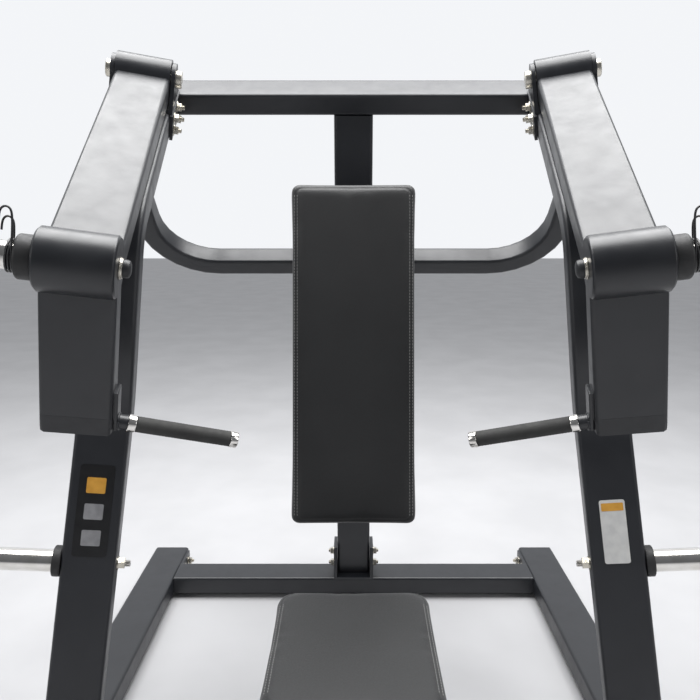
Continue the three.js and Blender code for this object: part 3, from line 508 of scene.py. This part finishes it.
def weld_bead(name, points, body, radius=0.0032, step=0.0034):
    """A rippled bead laid around a closed line of points."""
    path = [Vector(point) for point in points]
    path.append(path[0])
    places = []
    for a, b in zip(path, path[1:]):
        count = max(2, round((b - a).length / step))
        places.extend((a.lerp(b, k / count), (b - a).normalized()) for k in range(count))
    bm = bmesh.new()
    rings = []
    for k, (place, direction) in enumerate(places):
        matrix = axis_matrix(place, direction)
        size = radius * (1.0 + 0.16 * math.sin(k * 2.1) + random.uniform(-0.07, 0.07))
        rings.append([
            bm.verts.new(matrix @ Vector((0, size * math.cos(turn), size * math.sin(turn))))
            for turn in (2 * math.pi * j / 8 for j in range(8))
        ])
    for low, high in zip(rings, rings[1:] + [rings[0]]):
        join_loops(bm, low, high)
    new_object(name, mesh_from(name, bm, 80), FRAME_PAINT, body)


def handle_bead(side):
    """Weld around the handle's stub where it leaves its plate."""
    bar = frame["nodes"][f"handle_bar_{side.name}"].data.vertices
    grip_middle = middle_of(f"handle_grip_{side.name}")
    axis = (grip_middle - middle_of(f"handle_bar_{side.name}")).normalized()
    root = grip_middle + axis * min((vertex.co - grip_middle).dot(axis) for vertex in bar)
    travel = ((side.elbow - root).dot(side.out) - HANDLE_PLATE_FACE) / axis.dot(side.out)
    start = root + axis * travel
    matrix = axis_matrix(start, side.out)
    points = [matrix @ Vector((0, 0.0158 * math.cos(turn), 0.0158 * math.sin(turn)))
              for turn in (2 * math.pi * k / 20 for k in range(20))]
    weld_bead(f"handle_bead_{side.name}", points, f"press_arm_{side.name}", 0.0026, 0.003)


def upright_beads(side):
    """Weld around the box that holds the upright's foot, on its base rail."""
    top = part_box(f"base_rail_{side.name}")[1].z
    points = [vertex.co for vertex in frame["nodes"][f"upright_{side.name}"].data.vertices]
    foot = [point for point in points if point.z < top + 0.004]
    low_x, high_x = min(point.x for point in foot), max(point.x for point in foot)
    low_y, high_y = min(point.y for point in foot), max(point.y for point in foot)
    corners = [(low_x, low_y, top + 0.001), (high_x, low_y, top + 0.001),
               (high_x, high_y, top + 0.001), (low_x, high_y, top + 0.001)]
    weld_bead(f"foot_bead_{side.name}", corners, "frame")


# ---------------------------------------------------------------- round parts

def turned_piece(name, node, material, profile, matrix, sharp=35, closed=False, segments=72):
    bm = bmesh.new()
    lathe(bm, profile, matrix, segments, closed)
    source = frame["nodes"][node]
    piece = new_object(name, mesh_from(name, bm, sharp), material, source["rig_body"])
    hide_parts(node)


def horn_parts(side):
    n = side.name
    matrix = axis_matrix(side.elbow, side.out)
    low, end, radius = span(f"plate_horn_{n}", side.elbow, side.out)
    start, bumper_end, bumper = span(f"horn_bumper_{n}", side.elbow, side.out)
    stud = 0.010
    horn = [(0, low), (stud, low), (stud, start), (radius, start), (radius, end),
            (0.020, end), (0.020, end - 0.006), (0, end - 0.006)]
    turned_piece(f"plate_horn_{n}_turned", f"plate_horn_{n}", CHROME,
                 softened(horn, 0.0012), matrix)
    inside = radius + FIT_GAP
    ring = [(inside, start), (bumper, start), (bumper, bumper_end), (inside, bumper_end), (inside, start)]
    turned_piece(f"horn_bumper_{n}_turned", f"horn_bumper_{n}", RUBBER,
                 softened(ring, 0.006, 6)[:-1], matrix, closed=True)
    refine(f"horn_cap_{n}", PLASTIC, 30)
    nut_end, nut_start, washer = span(f"horn_nut_{n}", side.elbow, side.out)
    shoulder = nut_start - 0.0058
    washers = [(0.0103, nut_start), (washer, nut_start), (washer, nut_start - 0.0028),
               (0.0185, nut_start - 0.0029), (0.0185, shoulder), (0.0103, shoulder)]
    turned_piece(f"horn_nut_{n}_turned", f"horn_nut_{n}", ZINC,
                 softened(washers, 0.0006, 3), matrix, closed=True)
    dome = [(0.0103, shoulder - 0.0001), (0.0166, shoulder - 0.0001), (0.0168, nut_end + 0.0075),
            (0.0152, nut_end + 0.0028), (0.0105, nut_end + 0.0004), (0, nut_end), (0, nut_end + 0.003),
            (0.0103, nut_end + 0.003)]
    bm = bmesh.new()
    lathe(bm, dome, matrix, 48, True)
    new_object(f"horn_nut_{n}_dome", mesh_from("dome", bm, 40), PLASTIC, f"press_arm_{n}")


def handle_parts(side):
    n = side.name
    grip_middle = middle_of(f"handle_grip_{n}")
    axis = (middle_of(f"handle_cap_{n}") - grip_middle).normalized()
    matrix = axis_matrix(grip_middle, axis)
    bar_from, bar_to, collar = span(f"handle_bar_{n}", grip_middle, axis)
    grip_from, grip_to, grip_radius = span(f"handle_grip_{n}", grip_middle, axis)
    cap_from, cap_to, cap_radius = span(f"handle_cap_{n}", grip_middle, axis)
    bar = [(0, bar_from), (collar, bar_from), (collar, grip_from - FIT_GAP), (0.0125, grip_from - FIT_GAP),
           (0.0125, bar_to), (0, bar_to)]
    turned_piece(f"handle_bar_{n}_turned", f"handle_bar_{n}", CHROME,
                 softened(bar, 0.0015), matrix)
    ribs = []
    count = 62
    for k in range(count + 1):
        share = k / count
        along = grip_from + 0.001 + (grip_to - grip_from - 0.002) * share
        ribs.append((grip_radius - (0.00035 if k % 2 else 0), along))
    sleeve = [(0.0128, grip_from), (grip_radius - 0.001, grip_from)] + ribs
    sleeve += [(grip_radius - 0.001, grip_to), (0.0128, grip_to)]
    turned_piece(f"handle_grip_{n}_turned", f"handle_grip_{n}", GRIP, sleeve, matrix, 60, True)
    end = [(0.0128, cap_from), (cap_radius, cap_from), (cap_radius, cap_to), (0, cap_to),
           (0, cap_to - 0.005), (0.0128, cap_to - 0.005)]
    turned_piece(f"handle_cap_{n}_turned", f"handle_cap_{n}", CHROME,
                 softened(end, 0.0018), matrix)


def storage_parts(side):
    n = side.name
    middle = middle_of(f"storage_bumper_{n}")
    matrix = axis_matrix(middle, side.out)
    low, end, radius = span(f"storage_horn_{n}", middle, side.out)
    start, bumper_end, bumper_radius = span(f"storage_bumper_{n}", middle, side.out)
    thread = []
    pitch = 0.001
    nut_low = span(f"storage_nut_{n}", middle, side.out)[0]
    count = int((nut_low - low) / pitch)
    for k in range(count):
        thread.append((0.008 - (0.0007 if k % 2 else 0), low + 0.001 + k * pitch))
    horn = [(0, low), (0.0065, low)] + thread + [(0.008, nut_low), (0.008, start), (radius, start)]
    horn += [(radius, end - 0.004), (radius - 0.001, end - 0.0012), (radius - 0.004, end), (0, end)]
    turned_piece(f"storage_horn_{n}_turned", f"storage_horn_{n}", CHROME, horn, matrix, 50)
    ring = [(radius + FIT_GAP, start), (bumper_radius, start), (bumper_radius, bumper_end),
            (radius + FIT_GAP, bumper_end), (radius + FIT_GAP, start)]
    turned_piece(f"storage_bumper_{n}_turned", f"storage_bumper_{n}", RUBBER,
                 softened(ring, 0.004, 5)[:-1], matrix, closed=True)
    refine(f"storage_nut_{n}", ZINC, 30)


def spring_clip(side):
    """Black spring wire: two and a half turns around the horn and two hooked finger legs."""
    bumper_end = span(f"horn_bumper_{side.name}", side.elbow, side.out)[1]
    begin = bumper_end + 0.0026
    pitch, turns, coil = 0.005, 2.5, 0.0285
    finish = begin + pitch * turns
    points = [(begin + 0.022, -coil, 0.058), (begin + 0.022, -coil, 0.072), (begin + 0.018, -coil, 0.081),
              (begin + 0.011, -coil, 0.084), (begin + 0.004, -coil, 0.080), (begin + 0.001, -coil, 0.068),
              (begin, -coil, 0.040), (begin, -coil, 0.018)]
    steps = int(24 * turns)
    for k in range(steps + 1):
        angle = math.pi + 2 * math.pi * turns * k / steps
        points.append((begin + (finish - begin) * k / steps, coil * math.cos(angle), coil * math.sin(angle)))
    points += [(finish, coil, 0.018), (finish, coil, 0.038), (finish + 0.001, coil, 0.054),
               (finish + 0.004, coil, 0.062), (finish + 0.011, coil, 0.066), (finish + 0.018, coil, 0.062),
               (finish + 0.021, coil, 0.052), (finish + 0.021, coil, 0.040)]
    curve = bpy.data.curves.new(f"clip_{side.name}", "CURVE")
    curve.dimensions = "3D"
    curve.bevel_depth = CLIP_WIRE_RADIUS
    curve.bevel_resolution = 4
    curve.resolution_u = 4
    curve.use_fill_caps = True
    line = curve.splines.new("NURBS")
    line.points.add(len(points) - 1)
    for point, (out, back, up) in zip(line.points, points):
        point.co = (*side.at(out, back, up), 1)
    line.order_u = 3
    line.use_endpoint_u = True
    name = f"spring_clip_{side.name}_wire"
    shape = bpy.data.objects.new(name + "_shape", curve)
    bpy.context.scene.collection.objects.link(shape)
    bpy.context.view_layer.update()
    mesh = bpy.data.meshes.new_from_object(shape.evaluated_get(bpy.context.evaluated_depsgraph_get()))
    bpy.data.objects.remove(shape)
    for polygon in mesh.polygons:
        polygon.use_smooth = True
    piece = new_object(name, mesh, WIRE, f"spring_clip_{side.name}")
    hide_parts(f"spring_clip_{side.name}")


# ---------------------------------------------------------------- plain panels

def panel(name, corners, thickness, material, body):
    """A thin plate over four corners, with rounded corners."""
    a, b, c, d = corners
    right, up = (b - a), (d - a)
    out = right.cross(up).normalized()
    width, height = right.length, up.length
    radius = min(width, height) * 0.09
    bm = bmesh.new()
    rim = []
    for cx, cy, start in ((1, 1, 0), (0, 1, 90), (0, 0, 180), (1, 0, 270)):
        for k in range(5):
            angle = math.radians(start + 22.5 * k)
            x = cx * width + (1 - 2 * cx) * radius + radius * math.cos(angle)
            y = cy * height + (1 - 2 * cy) * radius + radius * math.sin(angle)
            rim.append(a + right.normalized() * x + up.normalized() * y)
    low = [bm.verts.new(point) for point in rim]
    high = [bm.verts.new(point + out * thickness) for point in rim]
    bm.faces.new(high)
    bm.faces.new(list(reversed(low)))
    join_loops(bm, low, high)
    new_object(name, mesh_from(name, bm, 30), material, body)


def upright_face(side, along, across, lift):
    """A point on the lower front face of the upright: metres up from its foot, out from its middle."""
    top = Vector(UPRIGHT_KINK)
    foot = Vector(UPRIGHT_FOOT)
    direction = (top - foot).normalized()
    normal = Vector((-direction.y, direction.x))
    place = foot + direction * along + normal * lift
    return side.at(UPRIGHT_CENTRE + across, place.x, place.y)


def face_panel(side, name, low, high, left, right, material,
               lift=PANEL_LIFT, thickness=PANEL_THICKNESS):
    edges = [(low, left), (low, right), (high, right), (high, left)]
    corners = [upright_face(side, along, across * side.sign, lift) for along, across in edges]
    panel(name, corners, thickness, material, "frame")


def face_panels(side):
    """Plain panels where the machine carries its printed ones: no words and no signs."""
    n = side.name
    half = 0.5 * UPRIGHT_WIDTH
    if n == "left":
        face_panel(side, f"panel_{n}", 0.455, 0.665, -half + 0.022, half - 0.022, PANEL_DARK)
        for k, (low, tone) in enumerate(((0.60, PANEL_AMBER), (0.54, PANEL_GREY), (0.48, PANEL_GREY))):
            face_panel(side, f"panel_block_{k}", low, low + 0.036, -0.021, 0.021, tone,
                       BLOCK_LIFT, BLOCK_THICKNESS)
        return
    face_panel(side, f"panel_{n}", 0.440, 0.585, -half + 0.030, half - 0.034, PANEL_LIGHT)
    face_panel(side, "panel_band", 0.560, 0.578, -half + 0.034, half - 0.038, PANEL_AMBER,
               BLOCK_LIFT, BLOCK_THICKNESS)


# ---------------------------------------------------------------- pads

def to_back(point):
    """Back pad frame to the row frame: x across, y into the pad, z up along it."""
    turn = Matrix.Rotation(-BACK_LEAN, 3, "X")
    return turn @ Vector(point) + BACK_ORIGIN


def rounded_outline(width, length, radius, count=8):
    points = []
    for cx, cy, start in ((1, 1, 0), (-1, 1, 90), (-1, -1, 180), (1, -1, 270)):
        for k in range(count + 1):
            angle = math.radians(start + 90 * k / count)
            points.append((cx * (width / 2 - radius) + radius * math.cos(angle),
                           cy * (length / 2 - radius) + radius * math.sin(angle)))
    return points


def cushion_mesh(name, width, length, depth, corner, edge, shrink):
    """A cushion lying on z = 0, face up, as a stack of rounded outlines."""
    bm = bmesh.new()
    levels = [(edge * 0.5, 0.0), (0.0, edge * 0.5)]
    for k in range(6):
        angle = math.radians(90 * k / 5)
        levels.append((edge * (1 - math.cos(angle)), depth - edge + edge * math.sin(angle)))
    rings = []
    for inset, height in levels:
        inset += shrink
        outline = rounded_outline(width - 2 * inset, length - 2 * inset, max(corner - inset, 0.004))
        rings.append([bm.verts.new((x, y, height * (1 - shrink / depth))) for x, y in outline])
    for low, high in zip(rings, rings[1:]):
        join_loops(bm, low, high)
    bm.faces.new(rings[-1])
    bm.faces.new(list(reversed(rings[0])))
    bmesh.ops.recalc_face_normals(bm, faces=bm.faces)
    mesh = bpy.data.meshes.new(name)
    bm.to_mesh(mesh)
    bm.free()
    return mesh


def inflate(piece, cap):
    """Swells a cushion with cloth, keeps its underside flat and limits how far a point moves."""
    bpy.context.view_layer.objects.active = piece
    remesh = piece.modifiers.new("remesh", "REMESH")
    remesh.mode = "VOXEL"
    remesh.voxel_size = PAD_VOXEL
    bpy.ops.object.modifier_apply(modifier="remesh")
    before = [vertex.co.copy() for vertex in piece.data.vertices]
    cloth = piece.modifiers.new("cloth", "CLOTH")
    cloth.settings.use_pressure = True
    cloth.settings.uniform_pressure_force = PAD_PRESSURE
    cloth.settings.effector_weights.gravity = 0
    cloth.settings.quality = 5
    cloth.settings.tension_stiffness = 40
    cloth.settings.compression_stiffness = 40
    cloth.settings.bending_stiffness = 8
    scene = bpy.context.scene
    for number in range(1, CLOTH_FRAMES + 1):
        scene.frame_set(number)
    bpy.ops.object.modifier_apply(modifier="cloth")
    scene.frame_set(1)
    for vertex, start in zip(piece.data.vertices, before):
        move = vertex.co - start
        if move.length > cap:
            move = move.normalized() * cap
        vertex.co = start + move
        vertex.co.z = max(vertex.co.z, 0.0)
    ease_wrinkles(piece, 6)


def ease_wrinkles(piece, rounds):
    """Relaxes the fabric's fine wrinkles without changing its overall swell."""
    bm = bmesh.new()
    bm.from_mesh(piece.data)
    for _ in range(rounds):
        bmesh.ops.smooth_vert(bm, verts=bm.verts, factor=0.5,
                              use_axis_x=True, use_axis_y=True, use_axis_z=True)
    bm.to_mesh(piece.data)
    bm.free()


def fit_outline(piece, width, length):
    """Scales the cushion across and along so that its outline has the stated size."""
    for axis, size in ((0, width), (1, length)):
        spread = max(abs(vertex.co[axis]) for vertex in piece.data.vertices)
        for vertex in piece.data.vertices:
            vertex.co[axis] *= size / 2 / spread


def subdivide(piece):
    bpy.context.view_layer.objects.active = piece
    smooth = piece.modifiers.new("smooth", "SUBSURF")
    smooth.levels = 1
    smooth.render_levels = 1
    bpy.ops.object.modifier_apply(modifier="smooth")
    for polygon in piece.data.polygons:
        polygon.use_smooth = True


def press_seam(piece, outline, depth, reach, height):
    """Presses a groove into the cushion along an outline, near its upper face."""
    path = [Vector(point) for point in outline]
    ring = list(zip(path, path[1:] + path[:1]))
    for vertex in piece.data.vertices:
        if vertex.co.z < height:
            continue
        flat = Vector((vertex.co.x, vertex.co.y))
        nearest = min(distance_to(flat, a, b) for a, b in ring)
        if nearest < 3 * reach:
            vertex.co.z -= depth * math.exp(-(nearest / reach) ** 2)


def distance_to(point, a, b):
    along = b - a
    share = max(0.0, min(1.0, (point - a).dot(along) / max(along.length_squared, 1e-12)))
    return (point - a - along * share).length


def stitch_row(bm, tree, start, end):
    """Stitches along a line on the cushion's face, found by a ray from above."""
    direction = (end - start).normalized()
    count = int((end - start).length / STITCH_PITCH)
    for k in range(count):
        centre = start + direction * (STITCH_PITCH * (k + 0.5))
        rows = []
        for share in (-0.5, -0.3, 0.0, 0.3, 0.5):
            spot = centre + direction * (STITCH_LENGTH * share)
            hit, normal, _, _ = tree.ray_cast(Vector((spot.x, spot.y, 1.0)), Vector((0, 0, -1)))
            if hit is None:
                break
            lift = STITCH_RADIUS * (0.5 - 2.2 * abs(share) ** 2)
            rows.append(hit + normal * lift)
        if len(rows) < 5:
            continue
        rings = []
        for place, size in zip(rows, (0.45, 0.9, 1.0, 0.9, 0.45)):
            matrix = axis_matrix(place, direction_3d(direction))
            thick = STITCH_RADIUS * size
            rings.append([
                bm.verts.new(matrix @ Vector((0, thick * math.cos(turn), thick * math.sin(turn))))
                for turn in (2 * math.pi * j / 6 for j in range(6))
            ])
        for low, high in zip(rings, rings[1:]):
            join_loops(bm, low, high)
        bm.faces.new(rings[0])
        bm.faces.new(rings[-1])


def direction_3d(direction):
    return Vector((direction.x, direction.y, 0))


def build_pad(name, node, width, length, depth, corner, body, to_row, stitch_lines, cap):
    mesh = cushion_mesh(name, width, length, depth, corner, PAD_EDGE, PAD_SHRINK)
    piece = bpy.data.objects.new(name, mesh)
    bpy.context.scene.collection.objects.link(piece)
    inflate(piece, cap)
    subdivide(piece)
    fit_outline(piece, width, length)
    seam = rounded_outline(width - SEAM_INSET, length - SEAM_INSET, max(corner - 0.006, 0.006))
    press_seam(piece, seam, SEAM_DEPTH, SEAM_REACH, depth * 0.7)
    tree = BVHTree.FromObject(piece, bpy.context.evaluated_depsgraph_get())
    bm = bmesh.new()
    for start, end in stitch_lines:
        stitch_row(bm, tree, Vector(start), Vector(end))
    thread = mesh_from(name + "_stitches", bm, 60)
    for vertex in piece.data.vertices:
        vertex.co = to_row(vertex.co)
    for vertex in thread.vertices:
        vertex.co = to_row(vertex.co)
    piece.data.materials.clear()
    piece.data.materials.append(LEATHER)
    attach(piece, body)
    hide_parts(node)
    new_object(name + "_stitches", thread, THREAD, body)


def double_rows(width, length, margin, rows):
    lines = []
    for sign in (-1, 1):
        for inset in rows:
            x = sign * (width / 2 - inset)
            lines.append(((x, -length / 2 + margin), (x, length / 2 - margin)))
    return lines


def back_pad():
    width, depth, length = BACK_SIZE

    def to_row(point):
        return to_back((point.x, depth - point.z, point.y + length / 2))

    lines = double_rows(width, length, 0.022, STITCH_INSETS)
    build_pad("back_cushion", "back_pad", width, length, depth, 0.022, "frame", to_row, lines, 0.006)


def seat_pad():
    low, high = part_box("seat_pad")
    width, length, depth = high - low
    middle = (low + high) / 2

    def to_row(point):
        return Vector((middle.x + point.x, middle.y + point.y, low.z + point.z))

    lines = double_rows(width, length, 0.055, STITCH_INSETS)
    build_pad("seat_cushion", "seat_pad", width, length, depth, 0.045, "seat", to_row, lines, 0.007)


# ---------------------------------------------------------------- stage

def make_stage():
    bpy.ops.mesh.primitive_plane_add(size=40, location=(0, 0, 0))
    floor = bpy.context.object
    floor.name = "stage_floor"
    material, tree, shader = nodes_of("stage_floor")
    colour_between(tree, shader, noise(tree, 3, 3), (0.50, 0.50, 0.51), (0.54, 0.54, 0.55))
    bump(tree, shader, noise(tree, 60, 3), 0.05, 0.002)
    shader.inputs["Roughness"].default_value = 0.75
    floor.data.materials.append(material)
    world = bpy.data.worlds.new("studio")
    bpy.context.scene.world = world
    world.use_nodes = True
    tree = world.node_tree
    background = tree.nodes["Background"]
    split = tree.nodes.new("ShaderNodeSeparateXYZ")
    tree.links.new(tree.nodes.new("ShaderNodeTexCoord").outputs["Generated"], split.inputs["Vector"])
    span_of_room = add(tree, "ShaderNodeMapRange")
    span_of_room.inputs["From Min"].default_value = -1.0
    span_of_room.inputs["From Max"].default_value = 1.0
    tree.links.new(split.outputs["Y"], span_of_room.inputs["Value"])
    shade = ramp(tree, span_of_room.outputs["Result"], [
        (0.0, (0.13, 0.134, 0.142, 1)), (0.42, (0.22, 0.224, 0.236, 1)), (0.72, (0.90, 0.915, 0.94, 1))])
    tree.links.new(shade, background.inputs["Color"])
    background.inputs["Strength"].default_value = 1.0
    panels = (
        ("overhead", (0, 0.35, 3.5), (0, 0.0, 0.6), (3.8, 2.2), 215),
        ("left_strip", (-2.6, -2.2, 2.2), (-0.3, 0, 1.0), (0.7, 1.8), 14),
        ("right_strip", (2.6, -2.2, 2.2), (0.3, 0, 1.0), (0.7, 1.8), 14),
    )
    for name, place, target, size, power in panels:
        light = bpy.data.lights.new(name, "AREA")
        light.shape = "RECTANGLE"
        light.size, light.size_y = size
        light.energy = power
        lamp = bpy.data.objects.new(name, light)
        lamp.location = place
        lamp.rotation_euler = (Vector(target) - Vector(place)).to_track_quat("-Z", "Y").to_euler()
        bpy.context.scene.collection.objects.link(lamp)


def make_camera():
    data = bpy.data.cameras.new("camera")
    data.sensor_width = 36
    data.lens = 35
    data.shift_x = -0.005
    camera = bpy.data.objects.new("camera", data)
    camera.location = (0, -1.617, 1.277)
    camera.rotation_euler = (math.radians(90 - 11.05), 0, 0)
    bpy.context.scene.collection.objects.link(camera)
    bpy.context.scene.camera = camera


# ---------------------------------------------------------------- assembly

make_camera()
make_stage()
bpy.context.scene.view_settings.view_transform = "Standard"

ROUND_NODES = ("plate_horn", "horn_bumper", "horn_cap", "horn_nut", "spring_clip",
               "handle_bar", "handle_grip", "handle_cap", "storage_horn", "storage_bumper", "storage_nut")
SOFT_NODES = ("back_pad", "seat_pad")

for row in frame["record"]["subparts"]:
    node_name, slot_name = row["node"], row["material_slot"]
    stem = node_name.removesuffix("_left").removesuffix("_right")
    if stem in ROUND_NODES or stem in SOFT_NODES:
        continue
    refine(node_name, FINISHES[slot_name])

for side_name in SIDES:
    place = Side(side_name)
    horn_parts(place)
    handle_parts(place)
    storage_parts(place)
    spring_clip(place)
    side_bolts(place)
    beam_plugs(place)
    upright_beads(place)
    handle_bead(place)
    face_panels(place)

base_bolts()
rail_plugs()
back_pad()
seat_pad()
